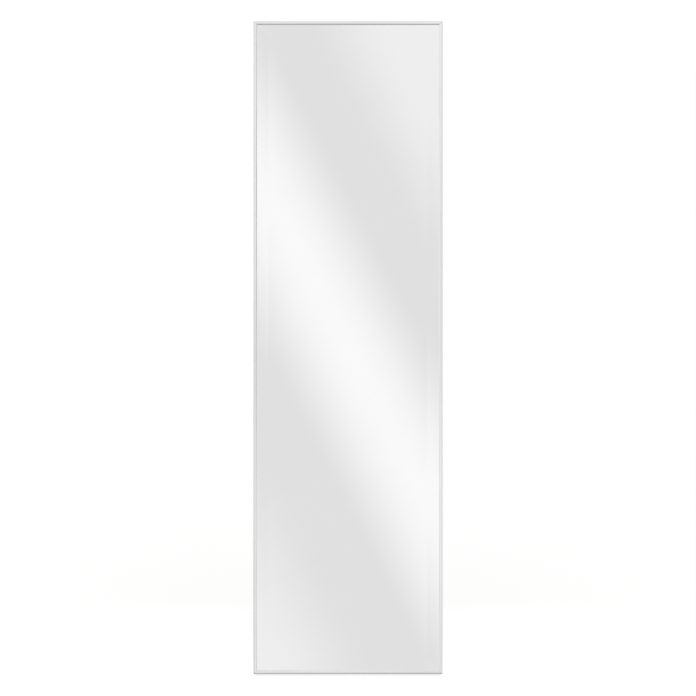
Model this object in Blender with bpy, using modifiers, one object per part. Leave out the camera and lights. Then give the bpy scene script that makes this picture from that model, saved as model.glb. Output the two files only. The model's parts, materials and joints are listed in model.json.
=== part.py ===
"""Full-length floor mirror: a thin aluminium frame that leans back on a folding U-shaped stand.

Units are metres and +Z is up. The mirror faces -Y and its left is -X, as seen from the front.
The origin is on the floor, at the middle of the whole object's footprint.

Two empties carry the pieces. panel_origin lies along the frame's lower rear edge and leans back:
under it, x runs to the right, y runs from the glass to the rear and z runs up the frame.
stand_pivot lies on the stand's hinge axis, and under it the stand hangs straight down along -z.
"""

import math

import bmesh
import bpy
from mathutils import Matrix

# --- Driving dimensions ---------------------------------------------------------------------
HEIGHT = 1.400  # of the frame, along its own length
WIDTH = 0.406
DEPTH = 0.025
LEAN = math.radians(10.0)  # the frame from upright
SPREAD = math.radians(19.0)  # the open stand from the frame
GAP = 0.0003  # between pieces that touch

# --- Frame extrusion, measured inwards from its outer face and forwards from its rear face ----
WALL = 0.0015
OUTER_SLOPE_WIDTH = 0.0026  # the lip's front slopes back towards its outer edge
OUTER_SLOPE_DEPTH = 0.0010
LIP_CREST = 0.0054  # outer face to the inner edge of the lip's flat crest
LIP_WIDTH = 0.0078  # outer face to visible glass
INNER_SLOPE_DEPTH = 0.0016  # the lip's front slopes back towards the glass
LIP_DEPTH = 0.0027  # front face to the back of the lip
CHAMBER_WIDTH = 0.014  # box section behind the glass channel, which holds the corner keys
CHAMBER_DEPTH = 0.0135
MITRE_GAP = 0.0002  # taken off each mitred end
CHAMBER_MIDDLE = CHAMBER_WIDTH / 2

# --- What the glass channel holds, from front to rear -----------------------------------------
EDGE_CLEARANCE = 0.0010
GLASS_THICKNESS = 0.0040
GLASS_BEVEL_WIDTH = 0.0300
GLASS_BEVEL_DROP = 0.0010
FOAM_THICKNESS = 0.0018
BOARD_THICKNESS = 0.0027

# --- Corner keys --------------------------------------------------------------------------------
KEY_LEG = 0.044  # from the frame's outer corner to the end of each leg
KEY_SCREW = 0.032  # from the frame's outer corner to each screw

# --- Screws ---------------------------------------------------------------------------------------
SHANK_RADIUS = 0.0020
HEAD_RADIUS = 0.0036
HEAD_HEIGHT = 0.0024
CORNER_SCREW_LENGTH = 0.0080
BRACKET_SCREW_LENGTH = 0.0075
HANGER_SCREW_LENGTH = 0.0060
FOOT_SCREW_LENGTH = 0.0090

# --- Stand ----------------------------------------------------------------------------------------
TUBE_RADIUS = 0.0080
TUBE_WALL = 0.0012
BEND_RADIUS = 0.060
PIVOT_UP = 0.820  # hinge axis, up the frame from its lower edge
PIVOT_BACK = 0.016  # hinge axis, behind the frame's rear face
CAP_THICKNESS = 0.0020
CAP_PLUG_LENGTH = 0.0070
GLIDE_LENGTH = 0.032
GLIDE_OFFSET = 0.095  # from the middle of the stand
GLIDE_WALL = 0.0028
GLIDE_SOLE = 0.0115  # middle of the tube to the floor
GLIDE_SOLE_HALF = 0.0120
GLIDE_MOUTH = math.radians(125.0)  # how far each side of the glide reaches up round the tube

# --- Hinge ----------------------------------------------------------------------------------------
PLATE = 0.0025  # bracket steel
BRACKET_INSET = 0.0010
BRACKET_HALF_HEIGHT = 0.032
EAR_RADIUS = 0.0090
TONGUE_LOW = 0.010  # the stop tongue, up the frame from the hinge axis
TONGUE_HIGH = 0.026
BRACKET_SCREW = 0.024  # each screw, up and down the frame from the hinge axis
NUT_PLATE_HALF_HEIGHT = 0.030
NUT_PLATE = 0.0025
BOLT_RADIUS = 0.0030
BOLT_HEAD_RADIUS = 0.0053
BOLT_HEAD_HEIGHT = 0.0033
SPACER = 0.0015
SPACER_RADIUS = 0.0075
WASHER = 0.0012
WASHER_RADIUS = 0.0062
NUT_HEIGHT = 0.0060
NUT_RADIUS = 0.0058  # to its corners
BOLT_END = 0.0020  # thread past the nut
BOLT_PLAY = 0.0001  # bolt to the holes it runs in

# --- Wall hangers ---------------------------------------------------------------------------------
HANGER_OFFSET = 0.130  # from the middle of the frame
HANGER_HALF_WIDTH = 0.015
HANGER_HEIGHT = 0.046
HANGER_PLATE = 0.0020
HANGER_TOP = 0.001  # below the frame's upper edge
HANGER_SCREW = 0.0095  # each screw, from the middle of the plate
KEYHOLE_DOWN = 0.033  # round entry, below the frame's upper edge
KEYHOLE_RADIUS = 0.0050
SLOT_RADIUS = 0.0026
SLOT_LENGTH = 0.0100

# --- Rubber feet under the frame ------------------------------------------------------------------
FOOT_LIFT = 0.0010  # frame's lower rear edge above the floor
FOOT_INNER = 0.126  # from the middle of the frame
FOOT_OUTER = 0.156
FOOT_BACK = 0.0070
FOOT_TOE = 0.0030  # how far the foot reaches forward under the frame
FOOT_TOP = 0.0140
FOOT_CHAMFER = 0.0030
FOOT_BORE_RADIUS = 0.0042
FOOT_BORE_DEPTH = 0.0040

# --- Worked out from the above ----------------------------------------------------------------------
GLASS_INSET = WALL + EDGE_CLEARANCE
# The lip holds the pane by its bevel, so the middle of the pane stands forward of the lip's back.
GLASS_FORWARD = GLASS_BEVEL_DROP * (1 - (LIP_WIDTH - GLASS_INSET) / GLASS_BEVEL_WIDTH)
GLASS_FRONT = LIP_DEPTH - DEPTH + GAP - GLASS_FORWARD
EAR_INNER = CHAMBER_WIDTH
EAR_OUTER = EAR_INNER - PLATE
SPACER_START = EAR_INNER + GAP
TUBE_START = SPACER_START + SPACER + GAP
TUBE_MIDDLE = TUBE_START + TUBE_RADIUS
WASHER_START = TUBE_MIDDLE + TUBE_RADIUS + GAP
NUT_START = WASHER_START + WASHER + GAP
ARM_OFFSET = WIDTH / 2 - TUBE_MIDDLE
TONGUE_REACH = TUBE_MIDDLE + TUBE_RADIUS / 2
BRACKET_REAR = GAP + PLATE
STAND_TILT = SPREAD - LEAN  # the open stand from upright
# The cap's front rim meets the stop tongue when the stand is open.
CAP_TOP = (PIVOT_BACK - BRACKET_REAR - GAP - TUBE_RADIUS * math.cos(SPREAD)) / math.sin(SPREAD)
TUBE_TOP = CAP_TOP - CAP_THICKNESS - GAP
PIVOT_HEIGHT = FOOT_LIFT + PIVOT_UP * math.cos(LEAN) - PIVOT_BACK * math.sin(LEAN)
STAND_LENGTH = (PIVOT_HEIGHT - GLIDE_SOLE) / math.cos(STAND_TILT)
FRONT_Y = OUTER_SLOPE_WIDTH * math.sin(LEAN) - DEPTH * math.cos(LEAN)
REAR_Y = (
    PIVOT_BACK * math.cos(LEAN)
    + PIVOT_UP * math.sin(LEAN)
    + STAND_LENGTH * math.sin(STAND_TILT)
    + GLIDE_SOLE_HALF
)
PANEL_Y = -(FRONT_Y + REAR_Y) / 2  # puts the origin at the middle of the footprint

SIDES = {"left": -1, "right": 1}
ROUND = 24  # sides of tubes and bolts
SMALL_ROUND = 16  # sides of small screws and drilled holes
MANY_HOLED = {"frame_rail_top"}  # the exact solver leaves open edges at its sixth hole
ALONG_X = (0.0, math.pi / 2, 0.0)  # turns a piece built along z to lie along x
ALONG_Y = (-math.pi / 2, 0.0, 0.0)  # turns a piece built along z to point to the rear
DRAWN_IN_XZ = (math.pi / 2, 0.0, 0.0)  # stands up an outline whose points are (x, z)
DRAWN_IN_YZ = (math.pi / 2, 0.0, math.pi / 2)  # stands up an outline whose points are (y, z)

MATERIALS = {  # base colour, roughness, metallic
    "anodised_aluminium": ((0.78, 0.78, 0.79), 0.32, 1.0),
    "silvered_glass": ((0.93, 0.94, 0.94), 0.02, 1.0),
    "foam": ((0.90, 0.90, 0.88), 0.90, 0.0),
    "fibreboard": ((0.45, 0.31, 0.19), 0.80, 0.0),
    "zinc_steel": ((0.62, 0.63, 0.65), 0.38, 1.0),
    "coated_steel": ((0.58, 0.59, 0.60), 0.45, 0.3),
    "nylon": ((0.85, 0.85, 0.82), 0.55, 0.0),
    "rubber": ((0.30, 0.30, 0.30), 0.80, 0.0),
}


# --- Scene ------------------------------------------------------------------------------------------
def clear_scene():
    for obj in list(bpy.data.objects):
        bpy.data.objects.remove(obj)


def new_collection(name):
    made = bpy.data.collections.new(name)
    bpy.context.scene.collection.children.link(made)
    return made


def new_material(name):
    colour, roughness, metallic = MATERIALS[name]
    made = bpy.data.materials.new(name)
    made.use_nodes = True
    shader = made.node_tree.nodes["Principled BSDF"]
    shader.inputs["Base Color"].default_value = (*colour, 1.0)
    shader.inputs["Roughness"].default_value = roughness
    shader.inputs["Metallic"].default_value = metallic
    return made


clear_scene()
PARTS = new_collection("floor_mirror")
CUTTERS = new_collection("cutters")
MATERIAL = {name: new_material(name) for name in MATERIALS}


def new_empty(name, parent, location, tilt):
    empty = bpy.data.objects.new(name, None)
    PARTS.objects.link(empty)
    empty.parent = parent
    empty.location = location
    empty.rotation_euler = (tilt, 0.0, 0.0)
    return empty


def place(obj, parent, location, rotation=(0.0, 0.0, 0.0)):
    obj.parent = parent
    obj.location = location
    obj.rotation_euler = rotation
    return obj


def finish(obj, material, smooth_below=0.0):
    """Makes the object a part: in the parts collection, with its material, shaded smooth below an angle."""
    PARTS.objects.link(obj)
    obj.data.materials.append(MATERIAL[material])
    if smooth_below:
        obj.data.shade_smooth()
        obj.data.set_sharp_from_angle(angle=smooth_below)
    return obj


def as_cutter(obj):
    CUTTERS.objects.link(obj)
    obj.hide_render = True
    obj.display_type = "WIRE"
    return obj


def boolean(target, tool, operation="DIFFERENCE"):
    modifier = target.modifiers.new(f"{operation.lower()}_{tool.name}", "BOOLEAN")
    modifier.solver = "MANIFOLD" if target.name in MANY_HOLED else "EXACT"
    modifier.operation = operation
    modifier.object = tool


# --- Basic shapes -------------------------------------------------------------------------------------
def circle(radius, sides, centre=(0.0, 0.0)):
    return arc(centre, radius, 0.0, 2 * math.pi * (1 - 1 / sides), sides)


def arc(centre, radius, start, end, count):
    """count points from one angle to another, both included."""
    angles = [start + (end - start) * i / (count - 1) for i in range(count)]
    return [(centre[0] + radius * math.cos(a), centre[1] + radius * math.sin(a)) for a in angles]


def rectangle(low, high):
    return [low, (high[0], low[1]), high, (low[0], high[1])]


def mesh_of(source, name):
    """A mesh object with the source's evaluated shape, welded, in place of the source."""
    PARTS.objects.link(source)
    graph = bpy.context.evaluated_depsgraph_get()
    mesh = bpy.data.meshes.new_from_object(source.evaluated_get(graph))
    bpy.data.objects.remove(source)
    work = bmesh.new()
    work.from_mesh(mesh)
    bmesh.ops.remove_doubles(work, verts=work.verts, dist=1e-6)
    bmesh.ops.recalc_face_normals(work, faces=work.faces)
    work.to_mesh(mesh)
    work.free()
    return bpy.data.objects.new(name, mesh)


def extruded(name, outlines, thickness):
    """Closed outlines in the x-y plane, the later ones as holes, given a thickness about z = 0."""
    curve = bpy.data.curves.new(name, "CURVE")
    curve.dimensions = "2D"
    curve.fill_mode = "BOTH"
    curve.extrude = thickness / 2
    for outline in outlines:
        spline = curve.splines.new("POLY")
        spline.points.add(len(outline) - 1)
        for point, (x, y) in zip(spline.points, outline):
            point.co = (x, y, 0.0, 1.0)
        spline.use_cyclic_u = True
    return mesh_of(bpy.data.objects.new(f"{name}_outline", curve), name)


def block(name, size):
    work = bmesh.new()
    bmesh.ops.create_cube(work, size=1.0)
    work.transform(Matrix.Diagonal((*size, 1.0)))
    mesh = bpy.data.meshes.new(name)
    work.to_mesh(mesh)
    work.free()
    return bpy.data.objects.new(name, mesh)


def turned(name, profile, sides):
    """A solid of revolution about z. The profile is (radius, z) from the top down the outer side."""
    mesh = bpy.data.meshes.new(name)
    edges = [(i, i + 1) for i in range(len(profile) - 1)]
    mesh.from_pydata([(radius, 0.0, z) for radius, z in profile], edges, [])
    obj = bpy.data.objects.new(name, mesh)
    screw = obj.modifiers.new("turn", "SCREW")
    screw.steps = sides
    screw.render_steps = sides
    screw.use_merge_vertices = True
    screw.merge_threshold = 1e-5
    return mesh_of(obj, name)


def drill(name, parent, location, rotation, radius, length, *targets):
    """A hole along its own z axis, centred on the location, through every target."""
    work = bmesh.new()
    bmesh.ops.create_cone(
        work, cap_ends=True, segments=SMALL_ROUND, radius1=radius, radius2=radius, depth=length
    )
    mesh = bpy.data.meshes.new(name)
    work.to_mesh(mesh)
    work.free()
    cutter = as_cutter(place(bpy.data.objects.new(name, mesh), parent, location, rotation))
    for target in targets:
        boolean(target, cutter)


def screw(name, x, seat, z, length, *targets):
    """A pan-head screw driven forwards into the panel at (x, z), with its head on the plane y = seat."""
    head_base = GAP
    profile = [
        (0.0, head_base + HEAD_HEIGHT),
        (HEAD_RADIUS * 0.55, head_base + HEAD_HEIGHT * 0.92),
        (HEAD_RADIUS * 0.90, head_base + HEAD_HEIGHT * 0.60),
        (HEAD_RADIUS, head_base + HEAD_HEIGHT * 0.25),
        (HEAD_RADIUS, head_base),
        (SHANK_RADIUS, head_base),
        (SHANK_RADIUS, -length + SHANK_RADIUS / 2),
        (SHANK_RADIUS / 2, -length),
        (0.0, -length),
    ]
    made = turned(name, profile, SMALL_ROUND)
    place(made, PANEL, (x, seat, z), ALONG_Y)
    finish(made, "zinc_steel", math.radians(40))
    hole_length = length + 2 * GAP + HEAD_HEIGHT
    hole_middle = seat - length - GAP + hole_length / 2
    drill(f"{name}_hole", PANEL, (x, hole_middle, z), ALONG_Y, SHANK_RADIUS + GAP, hole_length, *targets)
    return made


# --- The panel: frame, glass and back -----------------------------------------------------------------
def frame_member(name, length, location, turn):
    """One side of the frame: the extrusion's section, mitred at both ends."""
    section = [
        (0.0, -DEPTH + OUTER_SLOPE_DEPTH),
        (OUTER_SLOPE_WIDTH, -DEPTH),
        (LIP_CREST, -DEPTH),
        (LIP_WIDTH, -DEPTH + INNER_SLOPE_DEPTH),
        (LIP_WIDTH, -DEPTH + LIP_DEPTH),
        (WALL, -DEPTH + LIP_DEPTH),
        (WALL, -CHAMBER_DEPTH),
        (CHAMBER_WIDTH, -CHAMBER_DEPTH),
        (CHAMBER_WIDTH, 0.0),
        (0.0, 0.0),
    ]
    chamber = rectangle((WALL, WALL - CHAMBER_DEPTH), (CHAMBER_WIDTH - WALL, -WALL))
    member = extruded(name, [section, chamber], length)
    for vertex in member.data.vertices:
        mitred = length / 2 - vertex.co.x - MITRE_GAP
        vertex.co.z = math.copysign(mitred, vertex.co.z)
    place(member, PANEL, location, (0.0, turn, 0.0))
    return finish(member, "anodised_aluminium")


def frame():
    """The four sides, by name."""
    quarter = math.pi / 2
    return {
        "left": frame_member("frame_stile_left", HEIGHT, (-WIDTH / 2, 0.0, HEIGHT / 2), 0.0),
        "right": frame_member("frame_stile_right", HEIGHT, (WIDTH / 2, 0.0, HEIGHT / 2), math.pi),
        "top": frame_member("frame_rail_top", WIDTH, (0.0, 0.0, HEIGHT), quarter),
        "bottom": frame_member("frame_rail_bottom", WIDTH, (0.0, 0.0, 0.0), -quarter),
    }


def corner(members, level, side):
    """The L-shaped key inside two mitred ends, and the two screws that hold it."""
    near = WALL + GAP
    far = CHAMBER_WIDTH - WALL - GAP
    outline = [(near, near), (KEY_LEG, near), (KEY_LEG, far), (far, far), (far, KEY_LEG), (near, KEY_LEG)]
    to_x = SIDES[side]
    to_z = 1 if level == "top" else -1
    corner_x = to_x * WIDTH / 2
    corner_z = HEIGHT if level == "top" else 0.0
    placed = [(corner_x - to_x * u, corner_z - to_z * v) for u, v in outline]
    thickness = CHAMBER_DEPTH - 2 * near
    key = extruded(f"corner_key_{level}_{side}", [placed], thickness)
    place(key, PANEL, (0.0, -CHAMBER_DEPTH / 2, 0.0), DRAWN_IN_XZ)
    finish(key, "zinc_steel")
    middle_x = corner_x - to_x * CHAMBER_MIDDLE
    middle_z = corner_z - to_z * CHAMBER_MIDDLE
    screw_x = corner_x - to_x * KEY_SCREW
    screw_z = corner_z - to_z * KEY_SCREW
    name = f"corner_screw_{level}_{side}"
    screw(f"{name}_stile", middle_x, 0.0, screw_z, CORNER_SCREW_LENGTH, members[side], key)
    screw(f"{name}_rail", screw_x, 0.0, middle_z, CORNER_SCREW_LENGTH, members[level], key)


def sheet(name, front, thickness, material):
    """A full-size sheet held in the glass channel, with its front face at y = front."""
    size = (WIDTH - 2 * GLASS_INSET, thickness, HEIGHT - 2 * GLASS_INSET)
    made = block(name, size)
    place(made, PANEL, (0.0, front + thickness / 2, HEIGHT / 2))
    return finish(made, material)


def glazing():
    """The bevelled mirror pane, the foam behind it and the backing board."""
    edge_thickness = GLASS_THICKNESS - GLASS_BEVEL_DROP
    pane = sheet("mirror_glass", GLASS_FRONT + GLASS_BEVEL_DROP, edge_thickness, "silvered_glass")
    work = bmesh.new()
    work.from_mesh(pane.data)
    front = min(work.faces, key=lambda face: face.calc_center_median().y)
    bmesh.ops.inset_region(work, faces=[front], thickness=GLASS_BEVEL_WIDTH, depth=GLASS_BEVEL_DROP)
    work.to_mesh(pane.data)
    work.free()
    foam_front = GLASS_FRONT + GLASS_THICKNESS + GAP
    sheet("foam_sheet", foam_front, FOAM_THICKNESS, "foam")
    sheet("backing_board", foam_front + FOAM_THICKNESS + GAP, BOARD_THICKNESS, "fibreboard")


def wall_hanger(side, rail):
    """A keyhole plate on the top rail. Its wider entry is below its slot."""
    middle = SIDES[side] * HANGER_OFFSET
    top = HEIGHT - HANGER_TOP
    entry = HEIGHT - KEYHOLE_DOWN
    slot_end = entry + SLOT_LENGTH
    neck = math.asin(SLOT_RADIUS / KEYHOLE_RADIUS)
    plate = rectangle((middle - HANGER_HALF_WIDTH, top - HANGER_HEIGHT), (middle + HANGER_HALF_WIDTH, top))
    keyhole = arc(
        (middle, entry), KEYHOLE_RADIUS, math.pi / 2 + neck, 5 * math.pi / 2 - neck, SMALL_ROUND
    ) + arc((middle, slot_end), SLOT_RADIUS, 0.0, math.pi, SMALL_ROUND // 2)
    made = extruded(f"hanger_plate_{side}", [plate, keyhole], HANGER_PLATE)
    place(made, PANEL, (0.0, GAP + HANGER_PLATE / 2, 0.0), DRAWN_IN_XZ)
    finish(made, "zinc_steel")
    for which, offset in (("inner", -HANGER_SCREW), ("outer", HANGER_SCREW)):
        x = middle + SIDES[side] * offset
        name = f"hanger_screw_{side}_{which}"
        screw(name, x, GAP + HANGER_PLATE, HEIGHT - CHAMBER_MIDDLE, HANGER_SCREW_LENGTH, made, rail)


def floor_at(y):
    """Height of the floor in the panel's own axes, at a distance behind the frame's rear face."""
    return (y * math.sin(LEAN) - FOOT_LIFT) / math.cos(LEAN)


def panel_foot(side, rail):
    """A rubber foot hooked round the frame's lower rear edge, flat on the floor."""
    outline = [
        (-FOOT_TOE, floor_at(-FOOT_TOE)),
        (FOOT_BACK, floor_at(FOOT_BACK)),
        (FOOT_BACK, FOOT_TOP - FOOT_CHAMFER),
        (FOOT_BACK - FOOT_CHAMFER, FOOT_TOP),
        (GAP, FOOT_TOP),
        (GAP, -GAP),
        (-FOOT_TOE, -GAP),
    ]
    foot = extruded(f"panel_foot_{side}", [outline], FOOT_OUTER - FOOT_INNER)
    middle = SIDES[side] * (FOOT_INNER + FOOT_OUTER) / 2
    place(foot, PANEL, (middle, 0.0, 0.0), DRAWN_IN_YZ)
    finish(foot, "rubber")
    bore_floor = FOOT_BACK - FOOT_BORE_DEPTH
    drill(
        f"panel_foot_bore_{side}",
        PANEL,
        (middle, bore_floor + FOOT_BORE_DEPTH, CHAMBER_MIDDLE),
        ALONG_Y,
        FOOT_BORE_RADIUS,
        2 * FOOT_BORE_DEPTH,
        foot,
    )
    screw(f"panel_foot_screw_{side}", middle, bore_floor, CHAMBER_MIDDLE, FOOT_SCREW_LENGTH, foot, rail)


# --- The hinge ------------------------------------------------------------------------------------------
def hinge_bracket(side, stile):
    """A steel plate on the stile, with an ear for the pivot bolt and a tongue that stops the open stand."""
    to_x = SIDES[side]

    def across(inward):
        return to_x * (WIDTH / 2 - inward)

    base = [
        (across(BRACKET_INSET), -BRACKET_HALF_HEIGHT),
        (across(EAR_INNER), -BRACKET_HALF_HEIGHT),
        (across(EAR_INNER), TONGUE_LOW),
        (across(TONGUE_REACH), TONGUE_LOW),
        (across(TONGUE_REACH), TONGUE_HIGH),
        (across(EAR_INNER), TONGUE_HIGH),
        (across(EAR_INNER), BRACKET_HALF_HEIGHT),
        (across(BRACKET_INSET), BRACKET_HALF_HEIGHT),
    ]
    bracket = extruded(f"hinge_bracket_{side}", [base], PLATE)
    place(bracket, PANEL, (0.0, GAP + PLATE / 2, PIVOT_UP), DRAWN_IN_XZ)
    root = GAP + PLATE / 2
    ear_outline = [(root, -EAR_RADIUS), *arc((PIVOT_BACK, 0.0), EAR_RADIUS, -math.pi / 2, math.pi / 2, 13)]
    ear_outline.append((root, EAR_RADIUS))
    ear = extruded(f"hinge_ear_{side}", [ear_outline], PLATE)
    ear_x = across((EAR_INNER + EAR_OUTER) / 2)
    as_cutter(place(ear, PANEL, (ear_x, 0.0, PIVOT_UP), DRAWN_IN_YZ))
    boolean(bracket, ear, "UNION")
    drill(
        f"hinge_ear_hole_{side}",
        PANEL,
        (ear_x, PIVOT_BACK, PIVOT_UP),
        ALONG_X,
        BOLT_RADIUS + BOLT_PLAY,
        3 * PLATE,
        bracket,
    )
    finish(bracket, "zinc_steel")
    plate_size = (CHAMBER_WIDTH - 2 * (WALL + GAP), NUT_PLATE, 2 * NUT_PLATE_HALF_HEIGHT)
    plate_y = -WALL - GAP - NUT_PLATE / 2
    nut_plate = block(f"hinge_nut_plate_{side}", plate_size)
    place(nut_plate, PANEL, (across(CHAMBER_MIDDLE), plate_y, PIVOT_UP))
    finish(nut_plate, "zinc_steel")
    for which, offset in (("lower", -BRACKET_SCREW), ("upper", BRACKET_SCREW)):
        name = f"hinge_bracket_screw_{side}_{which}"
        x = across(CHAMBER_MIDDLE)
        z = PIVOT_UP + offset
        screw(name, x, BRACKET_REAR, z, BRACKET_SCREW_LENGTH, bracket, stile, nut_plate)


def ring(name, outer, height, material):
    """A washer or nut: an outline with a bolt hole."""
    hole = circle(BOLT_RADIUS + GAP, ROUND)
    return finish(extruded(name, [outer, hole], height), material, math.radians(40))


def pivot(side):
    """The bolt that the stand turns on, with its spacer, washer and lock nut."""
    to_x = SIDES[side]
    inwards = (0.0, -to_x * math.pi / 2, 0.0)

    def put(obj, inward):
        return place(obj, PANEL, (to_x * (WIDTH / 2 - inward), PIVOT_BACK, PIVOT_UP), inwards)

    shank = NUT_START + NUT_HEIGHT + BOLT_END - EAR_OUTER
    profile = [
        (0.0, shank),
        (BOLT_RADIUS - GAP, shank),
        (BOLT_RADIUS, shank - BOLT_RADIUS / 4),
        (BOLT_RADIUS, -GAP),
        (BOLT_HEAD_RADIUS, -GAP),
        (BOLT_HEAD_RADIUS, -GAP - BOLT_HEAD_HEIGHT * 0.3),
        (BOLT_HEAD_RADIUS * 0.8, -GAP - BOLT_HEAD_HEIGHT * 0.8),
        (BOLT_HEAD_RADIUS * 0.5, -GAP - BOLT_HEAD_HEIGHT),
        (0.0, -GAP - BOLT_HEAD_HEIGHT),
    ]
    finish(put(turned(f"pivot_bolt_{side}", profile, ROUND), EAR_OUTER), "zinc_steel", math.radians(40))
    spacer = ring(f"pivot_spacer_{side}", circle(SPACER_RADIUS, ROUND), SPACER, "nylon")
    put(spacer, SPACER_START + SPACER / 2)
    washer = ring(f"pivot_washer_{side}", circle(WASHER_RADIUS, ROUND), WASHER, "zinc_steel")
    put(washer, WASHER_START + WASHER / 2)
    nut = ring(f"pivot_nut_{side}", circle(NUT_RADIUS, 6), NUT_HEIGHT, "zinc_steel")
    put(nut, NUT_START + NUT_HEIGHT / 2)


# --- The stand --------------------------------------------------------------------------------------------
def stand_path():
    """The tube's centre line, from the top of the left arm round to the top of the right arm."""
    bend_x = ARM_OFFSET - BEND_RADIUS
    bend_z = BEND_RADIUS - STAND_LENGTH
    left = arc((-bend_x, bend_z), BEND_RADIUS, math.pi, 3 * math.pi / 2, 9)
    right = [(-x, z) for x, z in reversed(left)]
    return [(-ARM_OFFSET, TUBE_TOP), *left, *right, (ARM_OFFSET, TUBE_TOP)]


def stand_tube():
    """A round tube bent into a U, open at its two upper ends."""
    curve = bpy.data.curves.new("stand_tube_line", "CURVE")
    curve.dimensions = "3D"
    curve.bevel_depth = TUBE_RADIUS
    curve.bevel_resolution = ROUND // 2 - 2
    path = stand_path()
    spline = curve.splines.new("POLY")
    spline.points.add(len(path) - 1)
    for point, (x, z) in zip(spline.points, path):
        point.co = (x, 0.0, z, 1.0)
    source = bpy.data.objects.new("stand_tube_line", curve)
    wall = source.modifiers.new("wall", "SOLIDIFY")
    wall.thickness = TUBE_WALL
    wall.offset = -1.0
    tube = mesh_of(source, "stand_tube")
    place(tube, STAND, (0.0, 0.0, 0.0))
    for side, to_x in SIDES.items():
        at = (to_x * ARM_OFFSET, 0.0, 0.0)
        drill(f"stand_tube_hole_{side}", STAND, at, ALONG_X, BOLT_RADIUS + BOLT_PLAY, 3 * TUBE_RADIUS, tube)
    finish(tube, "coated_steel", math.radians(40))


def stand_end_cap(side):
    plug = TUBE_RADIUS - TUBE_WALL - GAP
    profile = [
        (0.0, CAP_TOP),
        (TUBE_RADIUS, CAP_TOP),
        (TUBE_RADIUS, CAP_TOP - CAP_THICKNESS),
        (plug, CAP_TOP - CAP_THICKNESS),
        (plug, TUBE_TOP - CAP_PLUG_LENGTH),
        (0.0, TUBE_TOP - CAP_PLUG_LENGTH),
    ]
    cap = turned(f"stand_end_cap_{side}", profile, ROUND)
    finish(place(cap, STAND, (SIDES[side] * ARM_OFFSET, 0.0, 0.0)), "rubber", math.radians(40))


def stand_glide(side):
    """A rubber saddle that clips on to the tube from below, with a flat sole on the floor."""
    down = -math.pi / 2
    inner = TUBE_RADIUS + GAP
    outer = inner + GLIDE_WALL
    sole_angle = math.acos(GLIDE_SOLE / math.hypot(GLIDE_SOLE, GLIDE_SOLE_HALF))
    right = arc((0.0, 0.0), outer, down + sole_angle, down + GLIDE_MOUTH, 8)
    left = [(-u, v) for u, v in reversed(right)]
    bore = arc((0.0, 0.0), inner, down - GLIDE_MOUTH, down + GLIDE_MOUTH, 17)
    sole = [(-GLIDE_SOLE_HALF, -GLIDE_SOLE), (GLIDE_SOLE_HALF, -GLIDE_SOLE)]
    outline = [*sole, *right, *reversed(bore), *left]
    glide = extruded(f"stand_glide_{side}", [outline], GLIDE_LENGTH)
    at = (SIDES[side] * GLIDE_OFFSET, 0.0, -STAND_LENGTH)
    level = new_empty(f"glide_level_{side}", STAND, at, -STAND_TILT)
    finish(place(glide, level, (0.0, 0.0, 0.0), DRAWN_IN_YZ), "rubber")


# --- Assembly -----------------------------------------------------------------------------------------------
PANEL = new_empty("panel_origin", None, (0.0, PANEL_Y, FOOT_LIFT), -LEAN)
STAND = new_empty("stand_pivot", PANEL, (0.0, PIVOT_BACK, PIVOT_UP), SPREAD)
MEMBERS = frame()
for LEVEL in ("top", "bottom"):
    for SIDE in SIDES:
        corner(MEMBERS, LEVEL, SIDE)
glazing()
stand_tube()
for SIDE in SIDES:
    wall_hanger(SIDE, MEMBERS["top"])
    panel_foot(SIDE, MEMBERS["bottom"])
    hinge_bracket(SIDE, MEMBERS[SIDE])
    pivot(SIDE)
    stand_end_cap(SIDE)
    stand_glide(SIDE)
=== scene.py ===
"""Looks for the full-length floor mirror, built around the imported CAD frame.

Units are metres. Most pieces are made in one of two sets of local axes. In the panel's axes, x runs
to the right, y from the glass to the rear and z up the frame. In the stand's axes the tube hangs
down along -z.
"""

import json
import math

import bmesh
import bpy
from mathutils import Matrix, Vector


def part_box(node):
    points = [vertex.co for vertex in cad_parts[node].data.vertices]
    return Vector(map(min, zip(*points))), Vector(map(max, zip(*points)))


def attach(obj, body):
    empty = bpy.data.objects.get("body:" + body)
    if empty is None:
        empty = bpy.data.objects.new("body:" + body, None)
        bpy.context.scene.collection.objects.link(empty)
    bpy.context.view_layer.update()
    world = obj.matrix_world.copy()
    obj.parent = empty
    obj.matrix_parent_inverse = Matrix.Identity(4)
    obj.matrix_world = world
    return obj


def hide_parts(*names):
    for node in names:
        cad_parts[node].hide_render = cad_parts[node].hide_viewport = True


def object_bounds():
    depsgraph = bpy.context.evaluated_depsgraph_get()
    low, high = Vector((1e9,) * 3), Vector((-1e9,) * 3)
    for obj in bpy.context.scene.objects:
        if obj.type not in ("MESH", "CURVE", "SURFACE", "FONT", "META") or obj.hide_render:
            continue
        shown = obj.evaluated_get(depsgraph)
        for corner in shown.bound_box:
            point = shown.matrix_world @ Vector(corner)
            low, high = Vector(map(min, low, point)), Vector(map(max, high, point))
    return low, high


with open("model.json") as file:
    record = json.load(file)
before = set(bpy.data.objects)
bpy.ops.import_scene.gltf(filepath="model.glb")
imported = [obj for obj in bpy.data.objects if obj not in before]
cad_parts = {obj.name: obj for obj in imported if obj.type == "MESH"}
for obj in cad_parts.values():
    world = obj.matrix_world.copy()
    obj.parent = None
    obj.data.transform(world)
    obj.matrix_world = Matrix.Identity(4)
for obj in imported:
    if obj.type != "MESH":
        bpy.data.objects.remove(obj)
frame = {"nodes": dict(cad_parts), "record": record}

CAD_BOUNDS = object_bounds()
NODES = frame["nodes"]
PIVOT = Vector(frame["record"]["behaviour"]["joints"][0]["pos_m"])

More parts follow.
